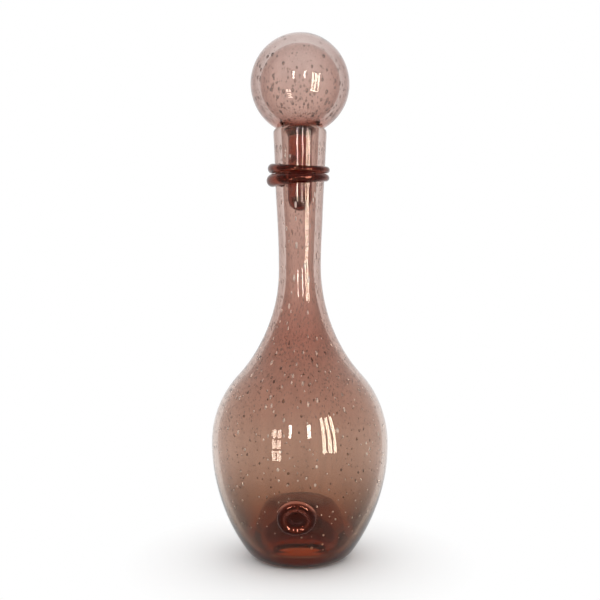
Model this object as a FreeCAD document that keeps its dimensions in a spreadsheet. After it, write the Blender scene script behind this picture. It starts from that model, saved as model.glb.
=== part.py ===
import FreeCAD, Part
import math
import os
import Sketcher
from FreeCAD import Placement, Rotation, Vector

# A hand-blown glass decanter: a bellied vessel with a thread of glass wound round its neck,
# a seal pressed on its belly, and a hollow ball stopper whose peg hangs in the mouth.
# Millimetres, +Z up, the origin on the vessel's axis under its foot, the seal facing -Y.

SIZES = (
    # The outside of the vessel, from the foot to the lip
    ("foot_diameter", 49.0, "outer edge of the flat ring that the vessel stands on"),
    ("foot_width", 3.0, "width of that flat ring"),
    ("foot_round", 3.0, "rounding from the ring up into the punt"),
    ("heel_radius", 15.5, "rounding from the ring up into the side"),
    ("belly_diameter", 120.0, "widest part"),
    ("belly_height", 78.5, "height of the widest part"),
    ("belly_curve", 67.5, "radius of the side just above the widest part"),
    ("waist_diameter", 29.0, "narrowest part of the neck"),
    ("waist_height", 197.0, "height of the narrowest part"),
    ("neck_curve", 400.0, "radius of the side just above the narrowest part"),
    ("lip_diameter", 36.6, "outside of the neck at the lip"),
    ("lip_height", 31.1, "crest of the lip above the groove between the thread's turns"),
    # The inside of the vessel, from the mouth to the punt
    ("mouth_diameter", 26.0, "bore at the lip"),
    ("neck_wall", 5.0, "wall at the narrowest part"),
    ("belly_wall", 3.5, "wall at the widest part"),
    ("floor_wall", 11.0, "glass under the gutter round the punt"),
    ("gutter_radius", 3.0, "rounding at the bottom of the gutter"),
    ("gutter_offset", 8.0, "from the foot's outer edge out to the middle of the gutter"),
    ("punt_rise", 24.0, "hollow under the base"),
    ("punt_wall", 15.0, "glass at the top of the punt"),
    # The scar left under the punt by the iron that held the hot vessel
    ("pontil_diameter", 16.0, "width of the scar"),
    ("pontil_thickness", 1.4, "how far its edge stands down from the punt"),
    # The seal, a pressed dab of glass on the belly
    ("seal_diameter", 24.0, "width of the seal"),
    ("seal_height", 39.5, "height of its middle on the side"),
    ("seal_thickness", 3.2, "rim above the side"),
    ("seal_root", 4.0, "how far the dab reaches into the curve of the side"),
    ("seal_edge", 1.6, "rounding of the rim's outer edge"),
    ("seal_rim", 4.0, "width of the rim"),
    ("seal_dish", 1.4, "depth of the pressed hollow, and reach of its sloping edge"),
    ("seal_boss", 8.0, "width of the round boss in the hollow"),
    ("seal_boss_rise", 1.1, "height of that boss"),
    # The thread wound round the neck
    ("thread_diameter", 5.0, "thickness of the thread"),
    ("thread_sink", 1.45, "how far the soft thread flattened into the neck"),
    ("thread_height", 261.4, "height of the groove between the two turns"),
    ("thread_spread", 1.15, "from the middle of the groove to the edge of a turn, on average"),
    ("thread_squeeze", 0.65, "how much nearer the turns lie on the right, and wider on the left"),
    ("thread_dip", 2.0, "how far the turns tip down in front, and up behind"),
    ("thread_turns", 1.62, "length of the thread in turns"),
    ("thread_lead", 0.05, "how far behind the left of the neck it starts, in turns"),
    ("thread_pass", 0.07, "how far its end lies past the foot of its climb, in turns"),
    ("thread_dab", 8.0, "thick start of the thread"),
    ("thread_tail", 5.4, "thick end of the thread"),
    ("thread_end_rise", 0.5, "how much prouder the thick ends stand than the thread"),
    # The stopper
    ("ball_diameter", 68.0, "outside of the ball"),
    ("ball_wall", 6.6, "wall of the ball"),
    ("blow_hole", 8.0, "hole that the ball was blown through, closed by the peg"),
    ("seat_clearance", 0.3, "between the ball and the lip that carries it"),
    ("peg_diameter", 16.4, "shank of the peg"),
    ("peg_length", 53.0, "from the bottom of the ball to the tip of the peg"),
    ("flare_diameter", 23.0, "where the peg spreads on to the ball"),
    ("flare_radius", 7.0, "rounding from the shank to the ball"),
)

START, END, CENTRE = 1, 2, 3
ORIGIN = (-1, 1)
UPRIGHT = -2
QUARTER = math.pi / 2

doc = FreeCAD.newDocument("glass_decanter")
sheet = doc.addObject("Spreadsheet::Sheet", "Sizes")
for row, (alias, size, meaning) in enumerate(SIZES, start=1):
    sheet.set(f"A{row}", meaning)
    sheet.set(f"B{row}", str(size))
    sheet.setAlias(f"B{row}", alias)
doc.recompute()


def number(formula):
    """The present value of a formula in the sheet's names."""
    return float(sheet.evalExpression(formula))


class Section:
    """A turned body and the sketch of its section: across from the axis, and up."""

    def __init__(self, name):
        self.body = doc.addObject("PartDesign::Body", name)
        self.body.Label = name
        self.sketch = self.body.newObject("Sketcher::SketchObject", name + "_section")
        planes = self.body.Origin.OriginFeatures
        upright = next(plane for plane in planes if plane.Role == "XZ_Plane")
        self.sketch.AttachmentSupport = [(upright, "")]
        self.sketch.MapMode = "FlatFace"

    def arc(self, centre, radius, start, end):
        circle = Part.Circle(Vector(*centre, 0), Vector(0, 0, 1), radius)
        return self.sketch.addGeometry(Part.ArcOfCircle(circle, start, end))

    def line(self, start, end):
        return self.sketch.addGeometry(Part.LineSegment(Vector(*start, 0), Vector(*end, 0)))

    def join(self, kind, *points):
        self.sketch.addConstraint(Sketcher.Constraint(kind, *points))

    def chain(self, *links, smooth=()):
        """Join each link's last point to the next link's first, and the last link to the first."""
        for (_, last), (following, _) in zip(links, links[1:] + links[:1]):
            self.join("Tangent" if last in smooth else "Coincident", *last, *following)

    def on_axis(self, *points):
        for point in points:
            self.join("PointOnObject", *point, UPRIGHT)

    def bind(self, name, formula, kind, *points):
        """A dimension of the sketch that follows a formula of the sheet."""
        index = self.sketch.addConstraint(Sketcher.Constraint(kind, *points, number(formula)))
        self.sketch.renameConstraint(index, name)
        self.sketch.setExpression(f"Constraints.{name}", formula)

    def bind_point(self, name, point, across, up):
        self.bind(name + "_across", across, "DistanceX", *ORIGIN, *point)
        self.bind(name + "_up", up, "DistanceY", *ORIGIN, *point)

    def revolve(self):
        turned = self.body.newObject("PartDesign::Revolution", self.body.Name + "_turned")
        turned.Profile = self.sketch
        turned.ReferenceAxis = (self.sketch, ["V_Axis"])
        turned.Angle = 360
        return self.body


def ahead(curve):
    return (curve, START), (curve, END)


def back(curve):
    return (curve, END), (curve, START)


# The two faces of the vessel's wall are drawn alike: a low arc, the lower side, the belly,
# the shoulder, the foot of the neck and a straight neck, each tangent to the next.
LIP_ROUND = "((Sizes.lip_diameter - Sizes.mouth_diameter) / 4)"
LIP_MIDDLE = "((Sizes.lip_diameter + Sizes.mouth_diameter) / 4)"
BELLY_UP = "Sizes.belly_height"
WAIST_UP = "Sizes.waist_height"
TOP_UP = f"(Sizes.thread_height + Sizes.lip_height - {LIP_ROUND})"

OUTSIDE = {
    "low_across": "(Sizes.foot_diameter / 2)",
    "low_up": "Sizes.heel_radius",
    "low_radius": "Sizes.heel_radius",
    "belly": "(Sizes.belly_diameter / 2)",
    "belly_radius": "Sizes.belly_curve",
    "waist": "(Sizes.waist_diameter / 2)",
    "neck_radius": "Sizes.neck_curve",
    "top": "(Sizes.lip_diameter / 2)",
}
INSIDE = {
    "low_across": "(Sizes.foot_diameter / 2 + Sizes.gutter_offset)",
    "low_up": "(Sizes.floor_wall + Sizes.gutter_radius)",
    "low_radius": "Sizes.gutter_radius",
    "belly": "(Sizes.belly_diameter / 2 - Sizes.belly_wall)",
    "belly_radius": "(Sizes.belly_curve - Sizes.belly_wall)",
    "waist": "(Sizes.waist_diameter / 2 - Sizes.neck_wall)",
    "neck_radius": "(Sizes.neck_curve + Sizes.neck_wall)",
    "top": "(Sizes.mouth_diameter / 2)",
}


def side_radius(face):
    """Radius of the lower side: upright at the belly and tangent to the low arc."""
    reach = f"({face['belly']} - {face['low_across']})"
    rise = f"({BELLY_UP} - {face['low_up']})"
    low = face["low_radius"]
    return f"(({reach}^2 + {rise}^2 - {low}^2) / (2 * ({reach} - {low})))"


def neck_line(face):
    """The two ends of the straight neck and its bearing on the arc at the neck's foot."""
    radius = number(face["neck_radius"])
    centre = (number(face["waist"]) + radius, number(WAIST_UP))
    top = (number(face["top"]), number(TOP_UP))
    bearing = math.atan2(top[1] - centre[1], top[0] - centre[0])
    bearing += math.acos(radius / math.dist(centre, top))
    low = (centre[0] + radius * math.cos(bearing), centre[1] + radius * math.sin(bearing))
    return low, top, bearing


def draw_face(drawing, name, face, low_start):
    """Draw one face of the wall and return its low arc and its neck."""
    low_across, low_up = number(face["low_across"]), number(face["low_up"])
    belly, belly_up = number(face["belly"]), number(BELLY_UP)
    waist, waist_up = number(face["waist"]), number(WAIST_UP)
    belly_radius, neck_radius = number(face["belly_radius"]), number(face["neck_radius"])
    side = number(side_radius(face))
    side_start = math.atan2(low_up - belly_up, low_across - belly + side)
    narrowing = belly - waist
    both_radii = (narrowing**2 + (waist_up - belly_up)**2) / (2 * narrowing)
    shoulder = both_radii - belly_radius
    turn = math.atan2(waist_up - belly_up, both_radii - narrowing)
    neck_low, top, bearing = neck_line(face)

    low = drawing.arc((low_across, low_up), number(face["low_radius"]), low_start, side_start)
    wall = drawing.arc((belly - side, belly_up), side, side_start, 0)
    bulge = drawing.arc((belly - belly_radius, belly_up), belly_radius, 0, turn)
    slope = drawing.arc((waist + shoulder, waist_up), shoulder, math.pi, math.pi + turn)
    foot = drawing.arc((waist + neck_radius, waist_up), neck_radius, bearing, math.pi)
    neck = drawing.line(neck_low, top)

    drawing.join("Tangent", low, END, wall, START)
    drawing.join("Tangent", wall, END, bulge, START)
    drawing.join("Tangent", bulge, END, slope, END)
    drawing.join("Tangent", slope, START, foot, END)
    drawing.join("Tangent", foot, START, neck, START)
    drawing.join("Horizontal", wall, CENTRE, wall, END)
    drawing.join("Horizontal", slope, CENTRE, slope, START)
    drawing.bind(name + "_low_radius", face["low_radius"], "Radius", low)
    drawing.bind(name + "_belly_radius", face["belly_radius"], "Radius", bulge)
    drawing.bind(name + "_neck_radius", face["neck_radius"], "Radius", foot)
    drawing.bind_point(name + "_low", (low, CENTRE), face["low_across"], face["low_up"])
    drawing.bind_point(name + "_belly", (wall, END), face["belly"], BELLY_UP)
    drawing.bind_point(name + "_waist", (slope, START), face["waist"], WAIST_UP)
    drawing.bind_point(name + "_top", (neck, END), face["top"], TOP_UP)
    return low, neck


# The vessel's outer shape as one solid, which the thread and the seal were laid on
vessel_shape = Section("vessel_shape")
foot_edge = (number(OUTSIDE["low_across"]), 0)
top_up = number(TOP_UP)
heel, neck = draw_face(vessel_shape, "outer", OUTSIDE, -QUARTER)
brim = vessel_shape.line((number(OUTSIDE["top"]), top_up), (0, top_up))
spine = vessel_shape.line((0, top_up), (0, 0))
base = vessel_shape.line((0, 0), foot_edge)
vessel_shape.chain(((heel, START), (neck, END)), ahead(brim), ahead(spine), ahead(base))
vessel_shape.join("Vertical", heel, START, heel, CENTRE)
vessel_shape.join("Horizontal", brim)
vessel_shape.on_axis((brim, END))
vessel_shape.join("Coincident", spine, END, *ORIGIN)
vessel_form = vessel_shape.revolve()

# The vessel: blown wall, rounded lip, gutter and punt in one section
PUNT_ACROSS = "(Sizes.foot_diameter / 2 - Sizes.foot_width)"
PUNT_APEX = "Sizes.punt_rise"
FLOOR_APEX = "(Sizes.punt_rise + Sizes.punt_wall)"


def dome_radius(apex, across, up, rounding):
    """Radius of a dome on the axis that is tangent to the rounding round its rim."""
    rise = f"({apex} - {up})"
    return f"(({across}^2 + {rise}^2 - {rounding}^2) / (2 * ({rounding} + {rise})))"


def draw_dome(drawing, name, apex, across, up, rounding):
    """Draw a dome from its rim to its apex, and return it and where the rounding starts."""
    radius = number(dome_radius(apex, across, up, rounding))
    centre_up = number(apex) - radius
    rim = math.atan2(number(up) - centre_up, number(across))
    dome = drawing.arc((0, centre_up), radius, rim, QUARTER)
    drawing.on_axis((dome, CENTRE), (dome, END))
    drawing.bind(name + "_apex", apex, "DistanceY", *ORIGIN, dome, END)
    return dome, rim - math.pi


vessel = Section("bottle_body")
low_sizes = (INSIDE["low_across"], INSIDE["low_up"], INSIDE["low_radius"])
floor, gutter_start = draw_dome(vessel, "floor", FLOOR_APEX, *low_sizes)
punt_rim = (PUNT_ACROSS, "Sizes.foot_round", "Sizes.foot_round")
punt, round_start = draw_dome(vessel, "punt", PUNT_APEX, *punt_rim)
heel, neck = draw_face(vessel, "outer", OUTSIDE, -QUARTER)
gutter, bore = draw_face(vessel, "inner", INSIDE, gutter_start)
lip = vessel.arc((number(LIP_MIDDLE), top_up), number(LIP_ROUND), 0, math.pi)
round_centre = (number(PUNT_ACROSS), number("Sizes.foot_round"))
rounding = vessel.arc(round_centre, round_centre[1], round_start, -QUARTER)
ring = vessel.line((round_centre[0], 0), foot_edge)
spine = vessel.line((0, number(FLOOR_APEX)), (0, number(PUNT_APEX)))
vessel.chain(
    ((heel, START), (neck, END)), ahead(lip), ((bore, END), (gutter, START)), ahead(floor),
    ahead(spine), back(punt), ahead(rounding), ahead(ring),
    smooth=((gutter, START), (punt, START)))
vessel.join("Horizontal", lip, CENTRE, lip, END)
vessel.join("Vertical", heel, START, heel, CENTRE)
vessel.join("Vertical", rounding, END, rounding, CENTRE)
vessel.bind("foot_round_radius", "Sizes.foot_round", "Radius", rounding)
vessel.bind_point("foot_round", (rounding, CENTRE), PUNT_ACROSS, "Sizes.foot_round")
bottle_body = vessel.revolve()

# The pontil scar: a flat dab whose upper face lies on the punt's dome
SCAR_HALF = "(Sizes.pontil_diameter / 2)"
PUNT_RADIUS = dome_radius(PUNT_APEX, *punt_rim)

scar = Section("pontil_scar")
punt_radius = number(PUNT_RADIUS)
punt_centre_up = number(PUNT_APEX) - punt_radius
scar_half = number(SCAR_HALF)
scar_rim = math.acos(scar_half / punt_radius)
scar_top = punt_centre_up + punt_radius * math.sin(scar_rim)
scar_low = scar_top - number("Sizes.pontil_thickness")
upper = scar.arc((0, punt_centre_up), punt_radius, scar_rim, QUARTER)
spine = scar.line((0, number(PUNT_APEX)), (0, scar_low))
lower = scar.line((0, scar_low), (scar_half, scar_low))
edge = scar.line((scar_half, scar_low), (scar_half, scar_top))
scar.chain(ahead(upper), ahead(spine), ahead(lower), ahead(edge))
scar.on_axis((upper, CENTRE), (upper, END), (lower, START))
scar.join("Horizontal", lower)
scar.join("Vertical", edge)
scar.bind("apex", PUNT_APEX, "DistanceY", *ORIGIN, upper, END)
scar.bind("dome", PUNT_RADIUS, "Radius", upper)
scar.bind("half", SCAR_HALF, "DistanceX", *ORIGIN, upper, START)
scar.bind("thickness", "Sizes.pontil_thickness", "DistanceY", edge, START, edge, END)
pontil_scar = scar.revolve()

# The seal: a round dab pressed square on the lower side, with a rim, a hollow and a boss
SEAL_HALF = "(Sizes.seal_diameter / 2)"
SEAL_RIM_IN = f"({SEAL_HALF} - Sizes.seal_rim)"
SEAL_SLOPE_IN = f"({SEAL_RIM_IN} - Sizes.seal_dish)"
SEAL_HOLLOW = "(Sizes.seal_thickness - Sizes.seal_dish)"
SEAL_BOSS_TOP = f"({SEAL_HOLLOW} + Sizes.seal_boss_rise)"
SEAL_BOSS_HALF = "(Sizes.seal_boss / 2)"
SEAL_DROP = f"({BELLY_UP} - Sizes.seal_height)"
SIDE = side_radius(OUTSIDE)

dab = Section("seal_dab")
seal_half = number(SEAL_HALF)
seal_root = -number("Sizes.seal_root")
seal_top = number("Sizes.seal_thickness")
seal_edge = number("Sizes.seal_edge")
edge_centre = (seal_half - seal_edge, seal_top - seal_edge)
hollow = number(SEAL_HOLLOW)
boss_half = number(SEAL_BOSS_HALF)
boss_rise = number("Sizes.seal_boss_rise")
boss_radius = (boss_half**2 + boss_rise**2) / (2 * boss_rise)
boss_centre_up = hollow + boss_rise - boss_radius
under = dab.line((0, seal_root), (seal_half, seal_root))
outer = dab.line((seal_half, seal_root), (seal_half, edge_centre[1]))
edge = dab.arc(edge_centre, seal_edge, 0, QUARTER)
crest = dab.line((edge_centre[0], seal_top), (number(SEAL_RIM_IN), seal_top))
slope = dab.line((number(SEAL_RIM_IN), seal_top), (number(SEAL_SLOPE_IN), hollow))
flat = dab.line((number(SEAL_SLOPE_IN), hollow), (boss_half, hollow))
boss_rim = math.acos(boss_half / boss_radius)
boss = dab.arc((0, boss_centre_up), boss_radius, boss_rim, QUARTER)
spine = dab.line((0, hollow + boss_rise), (0, seal_root))
dab.chain(
    ahead(under), ahead(outer), ahead(edge), ahead(crest), ahead(slope), ahead(flat),
    ahead(boss), ahead(spine), smooth=((outer, END), (edge, END)))
dab.on_axis((under, START), (boss, CENTRE), (boss, END))
dab.join("Horizontal", under)
dab.join("Vertical", outer)
dab.join("Horizontal", crest)
dab.join("Horizontal", flat)
dab.bind("root", "Sizes.seal_root", "DistanceY", under, START, *ORIGIN)
dab.bind("half", SEAL_HALF, "DistanceX", *ORIGIN, under, END)
dab.bind("edge", "Sizes.seal_edge", "Radius", edge)
dab.bind_point("rim", (crest, END), SEAL_RIM_IN, "Sizes.seal_thickness")
dab.bind_point("hollow", (slope, END), SEAL_SLOPE_IN, SEAL_HOLLOW)
dab.bind("boss", SEAL_BOSS_HALF, "DistanceX", *ORIGIN, flat, END)
dab.bind("boss_top", SEAL_BOSS_TOP, "DistanceY", *ORIGIN, boss, END)
seal_dab = dab.revolve()
seal_dab.Placement = Placement(Vector(), Rotation(Vector(1, 0, 0), 90))
seal_dab.setExpression(
    "Placement.Base.y", f"{SIDE} - {OUTSIDE['belly']} - sqrt({SIDE}^2 - {SEAL_DROP}^2)")
seal_dab.setExpression("Placement.Base.z", "Sizes.seal_height")
seal_dab.setExpression("Placement.Rotation.Angle", f"90deg + asin({SEAL_DROP} / {SIDE})")

seal = doc.addObject("Part::Cut", "seal")
seal.Base = seal_dab
seal.Tool = vessel_form

# The thread: it starts on the left, crosses the front, climbs behind the neck and crosses the
# front once more, ending over the foot of its climb. Its inner side took the neck's shape.
thread_radius = number("Sizes.thread_diameter / 2")
thread_proud = number("Sizes.thread_diameter - Sizes.thread_sink")
neck_low, neck_top, _ = neck_line(OUTSIDE)
first_turn = -number("Sizes.thread_lead")
last_turn = first_turn + number("Sizes.thread_turns")
climb_start = last_turn - 1 - number("Sizes.thread_pass")
climb_end = 1


def neck_outside(up):
    share = (up - neck_low[1]) / (neck_top[1] - neck_low[1])
    return neck_low[0] + share * (neck_top[0] - neck_low[0])


def thread_point(turn, radius, proud):
    """Middle of a round of that radius, which stands proud of the neck by that much."""
    angle = math.pi + 2 * math.pi * turn
    climb = min(max((turn - climb_start) / (climb_end - climb_start), 0), 1)
    level = 2 * climb**2 * (3 - 2 * climb) - 1
    spread = thread_radius + number("Sizes.thread_spread")
    spread -= number("Sizes.thread_squeeze") * math.cos(angle)
    up = number("Sizes.thread_height") + spread * level + number("Sizes.thread_dip") * math.sin(angle)
    across = neck_outside(up) + proud - radius
    return Vector(across * math.cos(angle), across * math.sin(angle), up)


def thread_middle(turn):
    return thread_point(turn, thread_radius, thread_proud)


def thread_heading(turn):
    """Direction of the thread, from two points a thousandth of a turn to either side."""
    step = 0.001
    return (thread_middle(turn + step) - thread_middle(turn - step)).normalize()


def arc_along(start, heading, end):
    """The arc that leaves start along heading and reaches end."""
    chord = end - start
    toward = Vector(chord).normalize()
    aside = heading - toward * heading.dot(toward)
    bend = math.atan2(aside.Length, heading.dot(toward))
    middle = start + chord / 2 + aside.normalize() * (chord.Length / 2 * math.tan(bend / 2))
    return Part.Arc(start, middle, end).toShape()


def biarc(start, leaving, end, arriving):
    """Two tangent arcs from start to end that keep both headings."""
    chord = end - start
    both = leaving + arriving
    spare = 2 * (1 - leaving.dot(arriving))
    run = (math.sqrt(chord.dot(both)**2 + spare * chord.dot(chord)) - chord.dot(both)) / spare
    joint = (start + end + (leaving - arriving) * run) / 2
    second = arc_along(end, arriving * -1, joint)
    return [arc_along(start, leaving, joint), second]


spans = math.ceil(4 * (last_turn - first_turn))
stops = [first_turn + (last_turn - first_turn) * i / spans for i in range(spans + 1)]
arcs = []
for here, there in zip(stops, stops[1:]):
    ends = [(thread_middle(turn), thread_heading(turn)) for turn in (here, there)]
    arcs += biarc(*ends[0], *ends[1])
path = Part.Wire(arcs)
circle = Part.makeCircle(thread_radius, thread_middle(first_turn), thread_heading(first_turn))
tube = path.makePipeShell([Part.Wire([circle])], True, False)
dab_radius = number("Sizes.thread_dab / 2")
tail_radius = number("Sizes.thread_tail / 2")
end_proud = thread_proud + number("Sizes.thread_end_rise")
dab_point = thread_point(first_turn, dab_radius, end_proud)
tail_point = thread_point(last_turn, tail_radius, end_proud)
dab_ball = Part.makeSphere(dab_radius, dab_point)
tail_ball = Part.makeSphere(tail_radius, tail_point)

gap_step = 0.01
half_turn = 0.5
gap_turns = [first_turn + gap_step * i for i in range(int((last_turn - first_turn) / gap_step) + 1)]
middles = [(turn, thread_middle(turn), thread_radius) for turn in gap_turns]
middles += [(first_turn, dab_point, dab_radius), (last_turn, tail_point, tail_radius)]
least_gap = min(
    (point - other).Length - radius - other_radius
    for turn, point, radius in middles
    for other_turn, other, other_radius in middles
    if other_turn - turn > half_turn)
print(f"thread: {tube.Volume:.1f} mm3, least gap between its turns {least_gap:.2f} mm")

thread_wound = doc.addObject("Part::Feature", "thread_wound")
thread_wound.Shape = tube.fuse([dab_ball, tail_ball])
neck_trail = doc.addObject("Part::Cut", "neck_trail")
neck_trail.Base = thread_wound
neck_trail.Tool = vessel_form

# The stopper's ball: blown hollow, resting on the lip, drawn about its own middle
BALL = "(Sizes.ball_diameter / 2)"
BALL_IN = f"({BALL} - Sizes.ball_wall)"
HOLE = "(Sizes.blow_hole / 2)"
SEAT = f"({BALL} + {LIP_ROUND} + Sizes.seat_clearance)"
BALL_UP = f"{TOP_UP} + sqrt({SEAT}^2 - {LIP_MIDDLE}^2)"

ball = Section("stopper_ball")
ball_radius, ball_in = number(BALL), number(BALL_IN)
hole = number(HOLE)
outer_rim, inner_rim = -math.acos(hole / ball_radius), -math.acos(hole / ball_in)
outer = ball.arc((0, 0), ball_radius, outer_rim, QUARTER)
inner = ball.arc((0, 0), ball_in, inner_rim, QUARTER)
crown = ball.line((0, ball_radius), (0, ball_in))
throat = ball.line((hole, ball_in * math.sin(inner_rim)), (hole, ball_radius * math.sin(outer_rim)))
ball.chain(ahead(outer), ahead(crown), back(inner), ahead(throat))
ball.join("Coincident", outer, CENTRE, *ORIGIN)
ball.join("Coincident", inner, CENTRE, *ORIGIN)
ball.on_axis((outer, END), (inner, END))
ball.bind("outer_radius", BALL, "Radius", outer)
ball.bind("inner_radius", BALL_IN, "Radius", inner)
ball.bind("outer_hole", HOLE, "DistanceX", *ORIGIN, outer, START)
ball.bind("inner_hole", HOLE, "DistanceX", *ORIGIN, inner, START)
stopper_ball = ball.revolve()

# The stopper's peg: a solid shank with a round tip, spread on to the ball over its blow hole
PEG = "(Sizes.peg_diameter / 2)"
FLARE = "(Sizes.flare_diameter / 2)"
TIP = f"({BALL} + Sizes.peg_length)"

peg = Section("stopper_peg")
peg_half, flare_half = number(PEG), number(FLARE)
flare_radius = number("Sizes.flare_radius")
tip_centre = peg_half - number(TIP)
seat_up = -math.sqrt(ball_radius**2 - flare_half**2)
flare_across = peg_half + flare_radius
flare_angle = math.acos((flare_half - flare_across) / flare_radius)
flare_up = seat_up - flare_radius * math.sin(flare_angle)
tip = peg.arc((0, tip_centre), peg_half, -QUARTER, 0)
shank = peg.line((peg_half, tip_centre), (peg_half, flare_up))
flare = peg.arc((flare_across, flare_up), flare_radius, flare_angle, math.pi)
seat = peg.arc((0, 0), ball_radius, -QUARTER, math.atan2(seat_up, flare_half))
spine = peg.line((0, -ball_radius), (0, tip_centre - peg_half))
peg.chain(
    ahead(tip), ahead(shank), back(flare), back(seat), ahead(spine),
    smooth=((tip, END), (shank, END)))
peg.join("Coincident", seat, CENTRE, *ORIGIN)
peg.join("Vertical", shank)
peg.on_axis((tip, START), (tip, CENTRE), (seat, START))
peg.bind("tip_radius", PEG, "Radius", tip)
peg.bind("tip_down", TIP, "DistanceY", tip, START, *ORIGIN)
peg.bind("flare_radius", "Sizes.flare_radius", "Radius", flare)
peg.bind("flare_half", FLARE, "DistanceX", *ORIGIN, flare, START)
peg.bind("seat_radius", BALL, "Radius", seat)
stopper_peg = peg.revolve()
for piece in (stopper_ball, stopper_peg):
    piece.setExpression("Placement.Base.z", BALL_UP)

# Every piece is tested, then written under its own name
doc.recompute()
failed = [item.Name for item in doc.Objects if {"Invalid", "Error"} & set(item.State)]
if failed:
    raise RuntimeError("not built: " + ", ".join(failed))
nodes = (bottle_body, neck_trail, seal, pontil_scar, stopper_ball, stopper_peg)
for node in nodes:
    if node.Shape.isNull() or not node.Shape.isValid() or len(node.Shape.Solids) != 1:
        raise RuntimeError("not one valid solid: " + node.Label)
os.makedirs("parts", exist_ok=True)
for node in nodes:
    node.Shape.exportStep(f"parts/{node.Label}.step")
    print(f"{node.Label}: {node.Shape.Volume / 1000:.1f} cm3")
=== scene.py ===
import math

import bmesh
import bpy
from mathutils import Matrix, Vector, noise


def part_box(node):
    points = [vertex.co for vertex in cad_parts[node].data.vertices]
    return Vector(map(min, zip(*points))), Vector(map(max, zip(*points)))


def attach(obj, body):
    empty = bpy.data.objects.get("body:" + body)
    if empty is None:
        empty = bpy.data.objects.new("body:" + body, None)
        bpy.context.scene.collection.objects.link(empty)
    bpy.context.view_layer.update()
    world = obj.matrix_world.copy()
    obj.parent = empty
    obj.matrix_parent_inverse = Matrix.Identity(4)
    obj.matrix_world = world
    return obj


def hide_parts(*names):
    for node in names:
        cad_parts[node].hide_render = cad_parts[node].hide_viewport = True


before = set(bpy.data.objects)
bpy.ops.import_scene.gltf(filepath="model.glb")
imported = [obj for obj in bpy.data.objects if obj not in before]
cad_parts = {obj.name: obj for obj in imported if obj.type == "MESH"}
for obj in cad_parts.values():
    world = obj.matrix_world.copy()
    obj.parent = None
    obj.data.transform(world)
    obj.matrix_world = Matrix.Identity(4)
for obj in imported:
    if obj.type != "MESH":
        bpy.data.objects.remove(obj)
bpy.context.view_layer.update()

# The vessel
# A bellied bottle of pinkish brown glass, blown on an iron: a round-lipped neck, a belly and a base
# pushed up into a punt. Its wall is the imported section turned, with the slow drift of handwork.
MM = 0.001
FINE = 0.001 * MM
VESSEL_SIDES = 112
VESSEL_STEP = 4 * MM
SHARPEST_BEND = math.radians(9)
DRIFT = 0.4 * MM
DRIFT_SPAN = 38 * MM
DRIFT_SEED = 2
FLOOR_FULLNESS = 7
noise.seed_set(DRIFT_SEED)


def half_section(node):
    """A turned node's outline from its axis round to its axis again, as points across and up."""
    drawn = bmesh.new()
    drawn.from_mesh(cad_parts[node].data)
    bmesh.ops.remove_doubles(drawn, verts=drawn.verts, dist=FINE)
    seam = {v for v in drawn.verts if abs(v.co.y) < FINE and v.co.x > -FINE}
    linked = {v: {e.other_vert(v) for e in v.link_edges} & seam for v in seam}
    here = min((v for v in seam if v.co.x < FINE), key=lambda v: v.co.z)
    outline = []
    while here:
        outline.append(Vector((here.co.x, here.co.z)))
        seam.remove(here)
        ahead = (linked[here] & seam) or seam
        here = min(ahead, key=lambda v: (v.co - here.co).length, default=None)
    drawn.free()
    return outline


def eased(outline, step):
    """An outline with more points, on cubics that pass through its own and meet the axis square."""
    runs = [(there - here).length for here, there in zip(outline, outline[1:])]
    ways = [(there - here) / run for here, there, run in zip(outline, outline[1:], runs)]
    slopes = [Vector((1, 0))]
    for i in range(1, len(runs)):
        slopes.append((ways[i - 1] * runs[i] + ways[i] * runs[i - 1]) / (runs[i - 1] + runs[i]))
    slopes.append(Vector((-1, 0)))
    points = [outline[0]]
    for i, run in enumerate(runs):
        bend = slopes[i].angle(slopes[i + 1])
        pieces = max(1, round(run / step), math.ceil(bend / SHARPEST_BEND))
        for j in range(1, pieces + 1):
            t = j / pieces
            swing = slopes[i] * (t * (1 - t) ** 2 * run) - slopes[i + 1] * (t**2 * (1 - t) * run)
            points.append(outline[i].lerp(outline[i + 1], t**2 * (3 - 2 * t)) + swing)
    return points


def around(count):
    """The angles of even steps round a full turn."""
    return [2 * math.pi * step / count for step in range(count)]


def skinned(first, rings, last):
    """The points and faces of a closed skin from an end point over rings of points to the other end."""
    sides = len(rings[0])
    points = [first] + [point for ring in rings for point in ring] + [last]
    final = len(points) - 1 - sides
    faces = []
    for side in range(sides):
        following = (side + 1) % sides
        faces.append((0, 1 + following, 1 + side))
        for low in range(1, final, sides):
            high = low + sides
            faces.append((low + side, low + following, high + following, high + side))
        faces.append((final + side, final + following, len(points) - 1))
    return points, faces


def turned(outline, sides=VESSEL_SIDES):
    """The points and faces of an outline turned about the axis, which both its ends lie on."""
    rings = []
    for place in outline[1:-1]:
        ring = []
        for angle in around(sides):
            ring.append(Vector((place.x * math.cos(angle), place.x * math.sin(angle), place.y)))
        rings.append(ring)
    return skinned(Vector((0, 0, outline[0].y)), rings, Vector((0, 0, outline[-1].y)))


def drifted(points, reach, span, start, end):
    """Points moved by the slow swing of handwork, which fades out at two heights."""
    moved = []
    for point in points:
        ease = max(0, min(1, (point.z - start) / span, (end - point.z) / span))
        moved.append(point + reach * ease * noise.noise_vector(point / span))
    return moved


def new_piece(name, points, faces):
    """A smooth-shaded mesh object of points and faces, in the scene."""
    mesh = bpy.data.meshes.new(name)
    mesh.from_pydata(points, [], faces)
    mesh.shade_smooth()
    piece = bpy.data.objects.new(name, mesh)
    bpy.context.collection.objects.link(piece)
    return piece


vessel_line = half_section("bottle_body")
top_index = max(range(len(vessel_line)), key=lambda i: vessel_line[i].y)
lip_top = vessel_line[top_index].y
gutter_index = min(range(top_index, len(vessel_line)), key=lambda i: vessel_line[i].y)
gutter = vessel_line[gutter_index].copy()
floor_rise = vessel_line[-1].y - gutter.y
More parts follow.
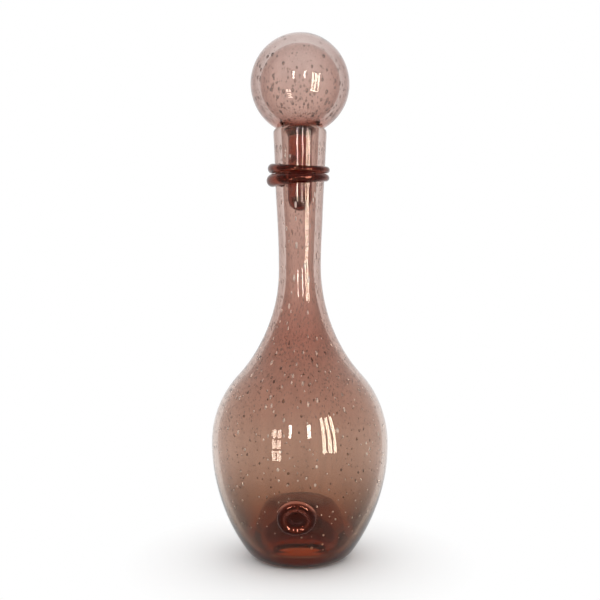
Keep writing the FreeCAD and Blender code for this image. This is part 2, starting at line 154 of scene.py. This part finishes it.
# The inner floor climbs steeply from the gutter round it and is broad on top.
for place in vessel_line[gutter_index:]:
    place.y = gutter.y + floor_rise * (1 - (place.x / gutter.x) ** FLOOR_FULLNESS)


def handmade(points):
    """Points of the bottle with its drift, which leaves the foot and the lip true."""
    return drifted(points, DRIFT, DRIFT_SPAN, 0, lip_top)


points, faces = turned(eased(vessel_line, VESSEL_STEP))
vessel = new_piece("vessel", handmade(points), faces)


def linear(colour):
    """An sRGB hex colour as linear red, green and blue with full alpha."""
    shares = [int(colour[i:i + 2], 16) / 255 for i in (1, 3, 5)]
    return [s / 12.92 if s <= 0.04045 else ((s + 0.055) / 1.055) ** 2.4 for s in shares] + [1]


def add(tree, kind, inputs=(), **settings):
    """A node of a kind, with its settings, and its inputs set to values or linked to outputs."""
    node = tree.nodes.new(kind)
    for name, value in settings.items():
        setattr(node, name, value)
    for key, value in dict(inputs).items():
        if isinstance(value, bpy.types.NodeSocket):
            tree.links.new(value, node.inputs[key])
        else:
            node.inputs[key].default_value = value
    return node


CORD_WIDTH = 7 * MM
SWELL_WIDTH = 9 * MM
UPRIGHT_DRAW = 0.16
SQUARE_ON, EDGE_ON = 0.12, 0.62
GLASS_IOR = 1.5
BOTTLE_GLOSS = "#aa9c94"


def glass(name, faces, rims, gloss="#ffffff", streak=0.12, ripple=0.05 * MM, clear=1.0):
    """Blown soda-lime glass. Faces and rims give its colour at heights in mm, seen square on and
    edge on, where light goes a longer way through it. Cords in the melt streak it upright, and
    the surface has the faint ripple of glass that was never moulded or ground. Gloss tints its
    reflections, and clear is the share of light that it lets through and doesn't scatter."""
    material = bpy.data.materials.new(name)
    material.use_nodes = True
    tree = material.node_tree
    tree.nodes.clear()
    place = add(tree, "ShaderNodeTexCoord").outputs["Object"]
    height = add(tree, "ShaderNodeSeparateXYZ", {0: place}).outputs["Z"]
    ramps = []
    for stops in (faces, rims):
        low, high = stops[0][0], stops[-1][0]
        share = add(tree, "ShaderNodeMapRange",
                    {"Value": height, "From Min": low * MM, "From Max": high * MM})
        ramp = add(tree, "ShaderNodeValToRGB", {0: share.outputs[0]})
        shades = ramp.color_ramp.elements
        shades[0].color, shades[1].color = linear(stops[0][1]), linear(stops[-1][1])
        for up, colour in stops[1:-1]:
            shades.new((up - low) / (high - low)).color = linear(colour)
        ramps.append(ramp.outputs[0])
    slant = add(tree, "ShaderNodeLayerWeight", {"Blend": 0.5}).outputs["Facing"]
    edge = add(tree, "ShaderNodeMapRange",
               {"Value": slant, "From Min": SQUARE_ON, "From Max": EDGE_ON})
    tone = add(tree, "ShaderNodeMix", {0: edge.outputs[0], 6: ramps[0], 7: ramps[1]},
               data_type="RGBA")
    drawn = add(tree, "ShaderNodeMapping", {"Vector": place, "Scale": (1, 1, UPRIGHT_DRAW)}).outputs[0]
    cords = add(tree, "ShaderNodeTexNoise", {"Vector": drawn, "Scale": 1 / CORD_WIDTH, "Detail": 3})
    shade = add(tree, "ShaderNodeMapRange",
                {"Value": cords.outputs[0], "From Min": 0.3, "From Max": 0.7,
                 "To Min": 1 - streak, "To Max": 1})
    tint = add(tree, "ShaderNodeMix", {0: 1.0, 6: tone.outputs[2], 7: shade.outputs[0]},
               data_type="RGBA", blend_type="MULTIPLY")
    swells = add(tree, "ShaderNodeTexNoise", {"Vector": drawn, "Scale": 1 / SWELL_WIDTH, "Detail": 1})
    bump = add(tree, "ShaderNodeBump",
               {"Height": swells.outputs[0], "Strength": 1.0, "Distance": ripple})
    shader = add(tree, "ShaderNodeBsdfPrincipled",
                 {"Base Color": tint.outputs[2], "Normal": bump.outputs[0], "IOR": GLASS_IOR,
                  "Roughness": 0.0, "Transmission Weight": clear, "Specular Tint": linear(gloss)})
    add(tree, "ShaderNodeOutputMaterial", {"Surface": shader.outputs[0]})
    return material


# The wall is pale and pinkish where it is thin, and browner towards the foot, where it is thick. Its
# last few mm, and its edges low on the heel, go almost black: painted contact shade and a painted dark
# reflection.
vessel.data.materials.append(glass(
    "pinkish_brown_glass_with_painted_foot_shade",
    ((0, "#1c0a05"), (4, "#8c4428"), (14, "#b06a48"), (28, "#b08a74"), (42, "#c2a493"),
     (75, "#d4bcae"), (120, "#ccaa9d"), (150, "#cba599"), (190, "#d8bcb2"), (290, "#e4cfc7")),
    ((0, "#120704"), (10, "#241610"), (22, "#4c3c30"), (34, "#83705f"), (50, "#b29c8e"),
     (66, "#d6c2b7"), (110, "#d2bbae"), (150, "#b19184"), (200, "#a9897e"), (250, "#a07d72"),
     (290, "#8d6a5f")),
    gloss=BOTTLE_GLOSS))
# The floor is the thickest glass: red brown low down, and dark in its round shoulders, which is painted
# shade and a painted dark reflection.
BASE_GLOSS = "#b06048"
FLOOR_GLASS_PAINTED_SHADE, FLOOR_HALF, FLOOR_TOP = 1, 38 * MM, 42 * MM
vessel.data.materials.append(glass(
    "floor_glass_with_painted_shade",
    ((8, "#b86438"), (16, "#b86438"), (28, "#6e4034"), (42, "#463438")),
    ((8, "#a25a36"), (42, "#4c383a")),
    gloss=BASE_GLOSS))
# Under the punt light comes up through the foot: this paler, warmer copy of the base glass is painted
# light.
PUNT_GLASS_PAINTED_LIGHT, PUNT_HALF = 2, 30 * MM
vessel.data.materials.append(glass(
    "punt_glass_with_painted_light",
    ((0, "#3a1c10"), (3, "#f0b890"), (30, "#f4d0b4")),
    ((0, "#3a1c10"), (3, "#e4ac84"), (30, "#ecc4a8")),
    gloss=BASE_GLOSS))
# The floor's top faces take the copy with painted shade, and the faces under the punt the copy with
# painted light.
for face in vessel.data.polygons:
    across = math.hypot(face.center.x, face.center.y)
    if across < FLOOR_HALF and face.center.z < FLOOR_TOP and face.normal.z > 0:
        face.material_index = FLOOR_GLASS_PAINTED_SHADE
    if across < PUNT_HALF and face.center.z < FLOOR_TOP and face.normal.z < 0:
        face.material_index = PUNT_GLASS_PAINTED_LIGHT

# The vessel's bubbles
# Gas that was stirred into the melt on purpose: many fine seeds and fewer large bubbles, round low
# down and drawn out upright on the shoulder and the neck as the glass was blown. They are hollows
# in the wall, so they face inwards.
SIZE_SEED = 7
SIZE_RARITY = 3.0


def bubble_tree():
    """The node tree that strews bubbles over the middle of a wall, drawn out along its rise."""
    tree = bpy.data.node_groups.new("bubbles_in_a_wall", "GeometryNodeTree")
    socket = tree.interface.new_socket
    socket("Middle of wall", in_out="INPUT", socket_type="NodeSocketGeometry")
    for name in ("Spacing", "Density", "Least radius", "Most radius", "Depth"):
        socket(name, in_out="INPUT", socket_type="NodeSocketFloat")
    for name in ("Segments", "Rings", "Seed"):
        socket(name, in_out="INPUT", socket_type="NodeSocketInt")
    socket("Surface", in_out="INPUT", socket_type="NodeSocketMaterial")
    socket("Bubbles", in_out="OUTPUT", socket_type="NodeSocketGeometry")
    given = add(tree, "NodeGroupInput").outputs
    crowd = add(tree, "GeometryNodeInputNamedAttribute", {"Name": "crowding"})
    draw = add(tree, "GeometryNodeInputNamedAttribute", {"Name": "stretch"})
    rise = add(tree, "GeometryNodeInputNamedAttribute", {"Name": "rise"}, data_type="FLOAT_VECTOR")
    strewn = add(tree, "GeometryNodeDistributePointsOnFaces",
                 {"Mesh": given["Middle of wall"], "Distance Min": given["Spacing"],
                  "Density Max": given["Density"], "Density Factor": crowd.outputs[0],
                  "Seed": given["Seed"]}, distribute_method="POISSON")
    side = add(tree, "FunctionNodeRandomValue",
               {2: -1.0, 3: 1.0, "Seed": given["Seed"]}, data_type="FLOAT")
    deep = add(tree, "ShaderNodeMath", {0: side.outputs[1], 1: given["Depth"]}, operation="MULTIPLY")
    shift = add(tree, "ShaderNodeVectorMath",
                {0: strewn.outputs["Normal"], "Scale": deep.outputs[0]}, operation="SCALE")
    placed = add(tree, "GeometryNodeSetPosition",
                 {"Geometry": strewn.outputs["Points"], "Offset": shift.outputs[0]})
    chance = add(tree, "FunctionNodeRandomValue", {2: 0.0, 3: 1.0, "Seed": SIZE_SEED},
                 data_type="FLOAT")
    rare = add(tree, "ShaderNodeMath", {0: chance.outputs[1], 1: SIZE_RARITY}, operation="POWER")
    radius = add(tree, "ShaderNodeMapRange",
                 {"Value": rare.outputs[0], "To Min": given["Least radius"],
                  "To Max": given["Most radius"]})
    longest = add(tree, "ShaderNodeMath", {0: radius.outputs[0], 1: draw.outputs[0]},
                  operation="MULTIPLY")
    size = add(tree, "ShaderNodeCombineXYZ",
               {0: radius.outputs[0], 1: radius.outputs[0], 2: longest.outputs[0]})
    upright = add(tree, "FunctionNodeAlignRotationToVector", {"Vector": rise.outputs[0]}, axis="Z")
    ball = add(tree, "GeometryNodeMeshUVSphere",
               {"Segments": given["Segments"], "Rings": given["Rings"]})
    strewn_balls = add(tree, "GeometryNodeInstanceOnPoints",
                       {"Points": placed.outputs[0], "Instance": ball.outputs["Mesh"],
                        "Rotation": upright.outputs[0], "Scale": size.outputs[0]})
    real = add(tree, "GeometryNodeRealizeInstances", {0: strewn_balls.outputs[0]})
    hollow = add(tree, "GeometryNodeFlipFaces", {0: real.outputs[0]})
    smooth = add(tree, "GeometryNodeSetShadeSmooth", {"Geometry": hollow.outputs[0]})
    finish = add(tree, "GeometryNodeSetMaterial",
                 {"Geometry": smooth.outputs[0], "Material": given["Surface"]})
    add(tree, "NodeGroupOutput", {"Bubbles": finish.outputs[0]})
    return tree


def even(colour):
    """The stops of one colour at every height."""
    return (0, colour), (360, colour)


bubble_nodes = bubble_tree()
# A seed is a clear hollow, and its dark rim is painted shade. A large bubble scatters light and looks
# pale.
seed_surface_painted_rim = glass("seed_wall_with_painted_dark_rim", even("#fff4ee"), even("#966a5c"))
bubble_surface = glass("wall_of_a_round_bubble", even("#ffffff"), even("#fff6f0"), clear=0.45)


def between(stops, value):
    """A value read from stops, straight from one to the next."""
    for (low, start), (high, end) in zip(stops, stops[1:]):
        if value <= high:
            return start + (end - start) * max(0, (value - low) / (high - low))
    return stops[-1][1]


def add_bubbles(piece, sheet, surface, crowding, stretch, **sizes):
    """Bubbles strewn over a sheet in the middle of a piece's wall, joined to the piece as hollows.
    Crowding and stretch are stops by height in mm, and each size goes to the input of its name."""
    mesh = sheet.data
    rises = [Vector((0, 0, 1)) - v.normal * v.normal.z for v in mesh.vertices]
    for name, stops in (("crowding", crowding), ("stretch", stretch)):
        values = [between(stops, v.co.z / MM) for v in mesh.vertices]
        mesh.attributes.new(name, "FLOAT", "POINT").data.foreach_set("value", values)
    rise = mesh.attributes.new("rise", "FLOAT_VECTOR", "POINT").data
    rise.foreach_set("vector", [share for way in rises for share in way])
    modifier = sheet.modifiers.new("bubbles", "NODES")
    modifier.node_group = bubble_nodes
    names = {item.name: item.identifier for item in bubble_nodes.interface.items_tree}
    for name, value in sizes.items():
        modifier[names[name.replace("_", " ").capitalize()]] = value
    modifier[names["Surface"]] = surface
    graph = bpy.context.evaluated_depsgraph_get()
    bubbles = bpy.data.meshes.new_from_object(sheet.evaluated_get(graph))
    bpy.data.objects.remove(sheet)
    whole = bmesh.new()
    whole.from_mesh(piece.data)
    start = len(whole.faces)
    whole.from_mesh(bubbles)
    whole.faces.ensure_lookup_table()
    for face in whole.faces[start:]:
        face.material_index = len(piece.data.materials)
    whole.to_mesh(piece.data)
    whole.free()
    piece.data.materials.append(surface)


SHEET_LOW, SHEET_HIGH, SHEET_STEP = 16 * MM, 284 * MM, 3 * MM
SHEET_SIDES = 96
foot_index = max(i for i in range(top_index) if vessel_line[i].y < FINE)
outside = [(p.y, p.x) for p in vessel_line[foot_index:top_index + 1]]
inside = [(p.y, p.x) for p in reversed(vessel_line[top_index:gutter_index + 1])]
sheet_line = [Vector((0, SHEET_LOW))]
for i in range(int((SHEET_HIGH - SHEET_LOW) / SHEET_STEP) + 1):
    up = SHEET_LOW + i * SHEET_STEP
    sheet_line.append(Vector(((between(outside, up) + between(inside, up)) / 2, up)))
sheet_line.append(Vector((0, SHEET_HIGH)))
points, faces = turned(sheet_line, SHEET_SIDES)
faces = [face for face in faces if len(face) == 4]
add_bubbles(
    vessel, new_piece("seed_sheet", handmade(points), faces), seed_surface_painted_rim,
    ((16, 0.15), (70, 0.2), (100, 0.42), (122, 1.0), (168, 1.0), (190, 0.6), (284, 0.36)),
    ((16, 1.1), (70, 1.3), (110, 1.9), (150, 2.2), (284, 3.2)),
    spacing=1.3 * MM, density=120000.0, least_radius=0.27 * MM, most_radius=0.48 * MM,
    depth=0.6 * MM, seed=3, segments=6, rings=4)
add_bubbles(
    vessel, new_piece("bubble_sheet", handmade(points), faces), bubble_surface,
    ((16, 0.4), (36, 1.0), (120, 1.0), (150, 0.7), (284, 0.5)),
    ((16, 1.0), (70, 1.3), (110, 1.9), (150, 2.4), (284, 3.0)),
    spacing=3.4 * MM, density=16000.0, least_radius=0.4 * MM, most_radius=1.05 * MM,
    depth=0.2 * MM, seed=5, segments=8, rings=5)
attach(vessel, "bottle")
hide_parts("bottle_body")

# The trail
# A thread of the same glass, laid hot round the neck in a turn and a half: thick where it was
# dabbed on at the left, thinner on the right, and flattened where it lies on the neck.
TRAIL_GROOVE = 261.4
TRAIL_SPREAD, TRAIL_SPREAD_LEFT, TRAIL_SPREAD_FRONT = 3.45, 0.7, 0.4
TRAIL_DIP = 2.2
TRAIL_START, TRAIL_END = -0.05, 1.57
TRAIL_STEPS, TRAIL_SIDES, TRAIL_CAP = 150, 28, 6
# The thread's radius in mm at turns counted from the left.
TRAIL_RADIUS = ((-0.05, 3.9), (0.04, 4.4), (0.25, 3.5), (0.5, 2.4), (0.75, 2.5), (1.0, 3.55),
                (1.12, 2.8), (1.25, 2.15), (1.5, 2.4), (1.57, 2.25))
TRAIL_PROUD = 0.71
TRAIL_CREASE = math.radians(40)
SEAM_GAP = 0.03 * MM


def vessel_outside(up):
    """The vessel's radius at a height."""
    return between(outside, up)


def trail_middle(turn):
    """The middle of the thread and its radius, at turns counted from the left."""
    angle = math.pi + 2 * math.pi * turn
    climb = min(max(2 * turn - 1, 0), 1)
    level = 2 * climb**2 * (3 - 2 * climb) - 1
    left, front = -math.cos(angle), -math.sin(angle)
    spread = TRAIL_SPREAD + TRAIL_SPREAD_LEFT * left - TRAIL_SPREAD_FRONT * max(front, 0)
    up = (TRAIL_GROOVE + spread * level - TRAIL_DIP * front) * MM
    radius = between(TRAIL_RADIUS, turn) * MM
    across = vessel_outside(up) + (2 * TRAIL_PROUD - 1) * radius
    return Vector((across * math.cos(angle), across * math.sin(angle), up)), radius


rounds = []
step = (TRAIL_END - TRAIL_START) / TRAIL_STEPS
for i in range(TRAIL_STEPS + 1):
    turn = TRAIL_START + i * step
    middle, radius = trail_middle(turn)
    heading = (trail_middle(turn + step)[0] - trail_middle(turn - step)[0]).normalized()
    rounds.append((middle, radius, heading))
caps, tips = [], []
for (middle, radius, heading), way in ((rounds[0], -1), (rounds[-1], 1)):
    cap = []
    for i in range(1, TRAIL_CAP):
        angle = math.pi / 2 * i / TRAIL_CAP
        reach = radius * math.sin(angle)
        cap.append((middle + way * reach * heading, radius * math.cos(angle), heading))
    caps.append(cap)
    tips.append(middle + way * radius * heading)
rings = []
for middle, radius, heading in caps[0][::-1] + rounds + caps[1]:
    away = Vector((middle.x, middle.y, 0)).normalized()
    over = heading.cross(away).normalized()
    ring = []
    for angle in around(TRAIL_SIDES):
        ring.append(middle + radius * (math.cos(angle) * away + math.sin(angle) * over))
    rings.append(ring)
points, faces = skinned(tips[0], rings, tips[1])
for point in points:
    seat = vessel_outside(point.z) + SEAM_GAP
    across = math.hypot(point.x, point.y)
    if across < seat:
        point.x *= seat / across
        point.y *= seat / across
trail = new_piece("trail", handmade(points), faces)
trail.data.set_sharp_from_angle(angle=TRAIL_CREASE)
# Drawn from the same pot, but thick: deep red brown on the neck, warmer low down in the seal.
thread_glass = glass(
    "deep_red_brown_soda_lime_glass",
    ((0, "#965240"), (60, "#965240"), (250, "#8c4434"), (300, "#8c4434")),
    ((0, "#c08a76"), (60, "#c08a76"), (250, "#40241e"), (300, "#40241e")),
    gloss="#b87868", streak=0.1, ripple=0.02 * MM)
trail.data.materials.append(thread_glass)
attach(trail, "bottle")
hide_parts("neck_trail")

# The seal
# A dab of hot glass set on the side and pressed with a round die: a soft thick rim, a hollow with
# a ring, and a plain boss in the middle.
SEAL_UP = 39.5
# The front in mm, across from the middle and out from the vessel's side.
SEAL_LINE = ((0, 2.75), (1.6, 2.65), (3.1, 2.2), (4.2, 1.75), (5.6, 1.65), (6.8, 2.1), (7.9, 3.0),
             (9.2, 3.35), (10.6, 3.0), (11.6, 2.0), (12.05, 0.8), (12.1, -0.4))
SEAL_STEP = 0.5 * MM
SEAL_SIDES = 72
SEAL_OVAL, SEAL_WAVER = 0.03, 0.012
SEAL_CREASE = math.radians(45)
SEATING_TRIES = 12
seal_seat = Vector((0, -vessel_outside(SEAL_UP * MM), SEAL_UP * MM))
seal_slope = (vessel_outside((SEAL_UP + 1) * MM) - vessel_outside((SEAL_UP - 1) * MM)) / (2 * MM)
seal_out = Vector((0, -1, -seal_slope)).normalized()
seal_right = Vector((1, 0, 0))
seal_rise = seal_out.cross(seal_right)


def on_side(point):
    """The place on the vessel's side that lies behind a point of the seal."""
    for _ in range(SEATING_TRIES):
        across = math.hypot(point.x, point.y)
        point = point - seal_out * ((across - vessel_outside(point.z) - SEAM_GAP) * -seal_out.y)
    return point


front_line = [Vector((across * MM, up * MM)) for across, up in SEAL_LINE]
front_line = eased(front_line, SEAL_STEP)[:-1]
rings = []
for place in front_line[1:]:
    ring = []
    for angle in around(SEAL_SIDES):
        wave = 1 + SEAL_OVAL * math.cos(2 * angle) + SEAL_WAVER * math.cos(3 * angle + 1)
        flat = place.x * wave * (math.cos(angle) * seal_right + math.sin(angle) * seal_rise)
        ring.append(seal_seat + flat + seal_out * place.y)
    rings.append(ring)
rim = rings[-1]
rings.append([on_side(point) for point in rim])
for share in (0.8, 0.6, 0.4, 0.2):
    rings.append([on_side(seal_seat.lerp(point, share)) for point in rim])
points, faces = skinned(seal_seat + seal_out * front_line[0].y, rings, on_side(seal_seat))
seal = new_piece("seal_dab", handmade(points), [face[::-1] for face in faces])
seal.data.set_sharp_from_angle(angle=SEAL_CREASE)
seal.data.materials.append(thread_glass)
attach(seal, "bottle")
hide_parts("seal")

# The pontil scar
# The rough stub of red brown glass left under the punt, where the iron that held the bottle while
# its lip was finished was broken away.
SCAR_SIDES = 48
SCAR_LIFT = 0.4 * MM
SCAR_SKIRT = 0.98
ROUGH_REACH = 0.5 * MM
ROUGH_DEPTH = 1.5 * MM
ROUGH_GRAIN = 2.2 * MM
scar_low, scar_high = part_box("pontil_scar")
scar_half = (scar_high.x - scar_low.x) / 2
punt_line = [(p.x, p.y) for p in vessel_line[:foot_index + 2]]
scar_outline = []
for share in (0, 0.3, 0.6, 0.85):
    scar_outline.append(Vector((share * scar_half, scar_low.z + SCAR_LIFT * share)))
for share in (1.0, 0.8, 0.6, 0.4, 0.2, 0.0):
    across = share * scar_half * SCAR_SKIRT
    scar_outline.append(Vector((across, between(punt_line, across) - SEAM_GAP)))
points, faces = turned(scar_outline, SCAR_SIDES)
for point in points:
    broken = max(0, (scar_low.z + ROUGH_DEPTH - point.z) / ROUGH_DEPTH)
    point.z += ROUGH_REACH * broken * noise.noise(point / ROUGH_GRAIN)
scar = new_piece("pontil_stub", points, faces)
scar.data.materials.append(thread_glass)
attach(scar, "bottle")
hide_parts("pontil_scar")

# The stopper
# A hollow ball blown on the end of a solid peg, of the same glass: pale where it is thin, deep
# red brown in the peg. The ball rests on the lip and the peg hangs in the neck.
BALL_STEPS = 44
STOPPER_STEP = 2.4 * MM
STOPPER_DRIFT = 0.35 * MM
STOPPER_SPAN = 30 * MM
BALL_SHEET_SIDES = 64
ball_low, ball_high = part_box("stopper_ball")
ball_radius = (ball_high.x - ball_low.x) / 2
ball_centre = Vector((0, ball_high.z - ball_radius))
cavity = min((place - ball_centre).length for place in half_section("stopper_ball"))


def ball_arc(radius, start=-math.pi / 2):
    """An arc about the ball's centre from an angle up to its top, as points across and up."""
    arc = []
    for i in range(BALL_STEPS + 1):
        angle = start + (math.pi / 2 - start) * i / BALL_STEPS
        arc.append(ball_centre + radius * Vector((math.cos(angle), math.sin(angle))))
    return arc


def stopper_handmade(points):
    """Points of the stopper with its drift, which leaves the peg true below the lip."""
    return drifted(points, STOPPER_DRIFT, STOPPER_SPAN, lip_top, ball_high.z + 2 * STOPPER_SPAN)


peg_line = half_section("stopper_peg")
flare_index = max(range(len(peg_line)), key=lambda i: peg_line[i].x)
flare = peg_line[flare_index] - ball_centre
stopper_line = peg_line[:flare_index] + ball_arc(ball_radius, math.atan2(flare.y, flare.x))[1:]
stopper_line[-1].x = 0
points, faces = turned(eased(stopper_line, STOPPER_STEP))
cavity_points, cavity_faces = turned(ball_arc(cavity))
faces += [tuple(len(points) + corner for corner in reversed(face)) for face in cavity_faces]
points += cavity_points
stopper = new_piece("stopper", stopper_handmade(points), faces)
# Red brown in the solid peg, and pale in the ball, where the glass is thin; the ball grows paler
# towards its top, which is painted light.
stopper.data.materials.append(glass(
    "stopper_glass_with_painted_light",
    ((230, "#94463a"), (290, "#a8563f"), (298, "#e0c8bf"), (330, "#e8d4cd"), (357, "#f0e2dd")),
    ((230, "#8a5044"), (278, "#8a5044"), (288, "#c8705a"), (298, "#875f54"), (335, "#876055"),
     (357, "#c8aca4")),
    gloss=BOTTLE_GLOSS))
# The wall of the hollow shows as hardly more than a line, and it too grows paler towards the top, which
# is painted light.
HOLLOW_GLASS = 1
stopper.data.materials.append(glass(
    "ball_hollow_glass_with_painted_light",
    ((290, "#dcc4bb"), (330, "#e4d0c9"), (357, "#ecdeda")),
    ((290, "#c09c92"), (335, "#c4a298"), (357, "#dcc8c2")),
    gloss=BOTTLE_GLOSS))
for face in stopper.data.polygons[-len(cavity_faces):]:
    face.material_index = HOLLOW_GLASS
points, faces = turned(ball_arc((ball_radius + cavity) / 2), BALL_SHEET_SIDES)
add_bubbles(
    stopper, new_piece("ball_sheet", stopper_handmade(points), faces), seed_surface_painted_rim,
    ((290, 1.0), (315, 0.8), (335, 0.35), (357, 0.12)), ((294, 1.6), (330, 1.4), (357, 1.0)),
    spacing=1.6 * MM, density=110000.0, least_radius=0.28 * MM, most_radius=1.0 * MM,
    depth=1.6 * MM, seed=11, segments=8, rings=6)
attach(stopper, "stopper")
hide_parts("stopper_ball", "stopper_peg")

# The stage
# A white paper floor that keeps the shadow, and a white surround that gives all the light. Lamps
# like window panes and strips show only in reflections on the glass.
FLOOR_REACH = 6.0
SHADOW_CORE, SHADOW_END = 0.03, 0.12
PAPER_GRAIN = 0.6 * MM
floor_mesh = bpy.data.meshes.new("floor")
floor_corners = [(x * FLOOR_REACH, y * FLOOR_REACH, 0) for x, y in ((-1, -1), (1, -1), (1, 1), (-1, 1))]
floor_mesh.from_pydata(floor_corners, [], [(0, 1, 2, 3)])
floor = bpy.data.objects.new("floor", floor_mesh)
bpy.context.collection.objects.link(floor)
# Matt paper has no gloss. Away from the bottle, and through the glass, it shows as plain white.
paper_white = bpy.data.materials.new("matt_white_paper")
paper_white.use_nodes = True
tree = paper_white.node_tree
tree.nodes.clear()
place = add(tree, "ShaderNodeTexCoord").outputs["Object"]
grain = add(tree, "ShaderNodeTexNoise", {"Vector": place, "Scale": 1 / PAPER_GRAIN, "Detail": 2})
fibres = add(tree, "ShaderNodeBump",
             {"Height": grain.outputs[0], "Strength": 0.2, "Distance": 0.05 * MM})
paper = add(tree, "ShaderNodeBsdfPrincipled",
            {"Base Color": linear("#fbfbfb"), "Roughness": 0.9, "Specular IOR Level": 0.0,
             "Normal": fibres.outputs[0]})
seen = add(tree, "ShaderNodeLightPath").outputs
away = add(tree, "ShaderNodeVectorMath", {0: place}, operation="LENGTH").outputs["Value"]
far = add(tree, "ShaderNodeMapRange",
          {"Value": away, "From Min": SHADOW_CORE, "From Max": SHADOW_END})
shown = add(tree, "ShaderNodeMath", {0: seen["Is Camera Ray"], 1: far.outputs[0]},
            operation="MULTIPLY")
white_share = add(tree, "ShaderNodeMath", {0: shown.outputs[0], 1: seen["Is Transmission Ray"]},
                  operation="MAXIMUM")
white = add(tree, "ShaderNodeEmission", {"Color": linear("#ffffff"), "Strength": 1.0})
both = add(tree, "ShaderNodeMixShader",
           {0: white_share.outputs[0], 1: paper.outputs[0], 2: white.outputs[0]})
add(tree, "ShaderNodeOutputMaterial", {"Surface": both.outputs[0]})
floor_mesh.materials.append(paper_white)

scene = bpy.context.scene
world = bpy.data.worlds.new("white_surround")
world.use_nodes = True
surround = world.node_tree.nodes["Background"].inputs
surround["Color"].default_value = linear("#ffffff")
surround["Strength"].default_value = 1.0
scene.world = world


def window(name, bearing, up, width, height, radiance, colour, distance):
    """An upright lamp at a bearing in degrees from the front towards +X, which faces the bottle's
    axis and shows only in reflections."""
    lamp = bpy.data.lights.new(name, "AREA")
    lamp.shape = "RECTANGLE"
    lamp.size, lamp.size_y = width, height
    lamp.energy = radiance * math.pi * width * height
    lamp.color = linear(colour)[:3]
    stand = bpy.data.objects.new(name, lamp)
    angle = math.radians(bearing)
    stand.location = (distance * math.sin(angle), -distance * math.cos(angle), up)
    stand.rotation_euler = (math.pi / 2, 0, angle)
    stand.visible_camera = False
    stand.visible_diffuse = False
    stand.visible_transmission = False
    bpy.context.collection.objects.link(stand)


for pane in range(3):
    window(f"window_pane_{pane}", bearing=31.2 + 6.65 * pane, up=0.225, width=0.046, height=0.41,
           radiance=54, colour="#f6f6e8", distance=0.6)
for row in range(3):
    for side in (-1, 1):
        window(f"left_pane_{row}_{side}", bearing=-24.4 + 3.2 * side, up=0.036 + 0.062 * row,
               width=0.028, height=0.05, radiance=34, colour="#fff8f0", distance=0.32)
for name, bearing in (("strip_left", -10), ("strip_right", 14)):
    window(name, bearing=bearing, up=0.47, width=0.09, height=0.34, radiance=75,
           colour="#ffffff", distance=1.2)

# The camera
# It stands level before the seal, a little to its right, as far off as the photograph's
# perspective says.
CAMERA_DISTANCE = 0.543
CAMERA_UP = 0.171
CAMERA_BEARING = math.radians(2.4)
FRAME_WIDTH = 600
FOCAL = 790
HORIZON_BELOW = 6
LIGHT_BOUNCES = 32
camera_data = bpy.data.cameras.new("camera")
camera_data.sensor_width = 36
camera_data.lens = camera_data.sensor_width * FOCAL / FRAME_WIDTH
camera_data.shift_y = HORIZON_BELOW / FRAME_WIDTH
camera = bpy.data.objects.new("camera", camera_data)
camera.location = (
    CAMERA_DISTANCE * math.sin(CAMERA_BEARING), -CAMERA_DISTANCE * math.cos(CAMERA_BEARING), CAMERA_UP)
camera.rotation_euler = (math.pi / 2, 0, CAMERA_BEARING)
bpy.context.collection.objects.link(camera)
scene.camera = camera
scene.view_settings.view_transform = "Standard"
scene.cycles.max_bounces = LIGHT_BOUNCES
scene.cycles.transmission_bounces = LIGHT_BOUNCES
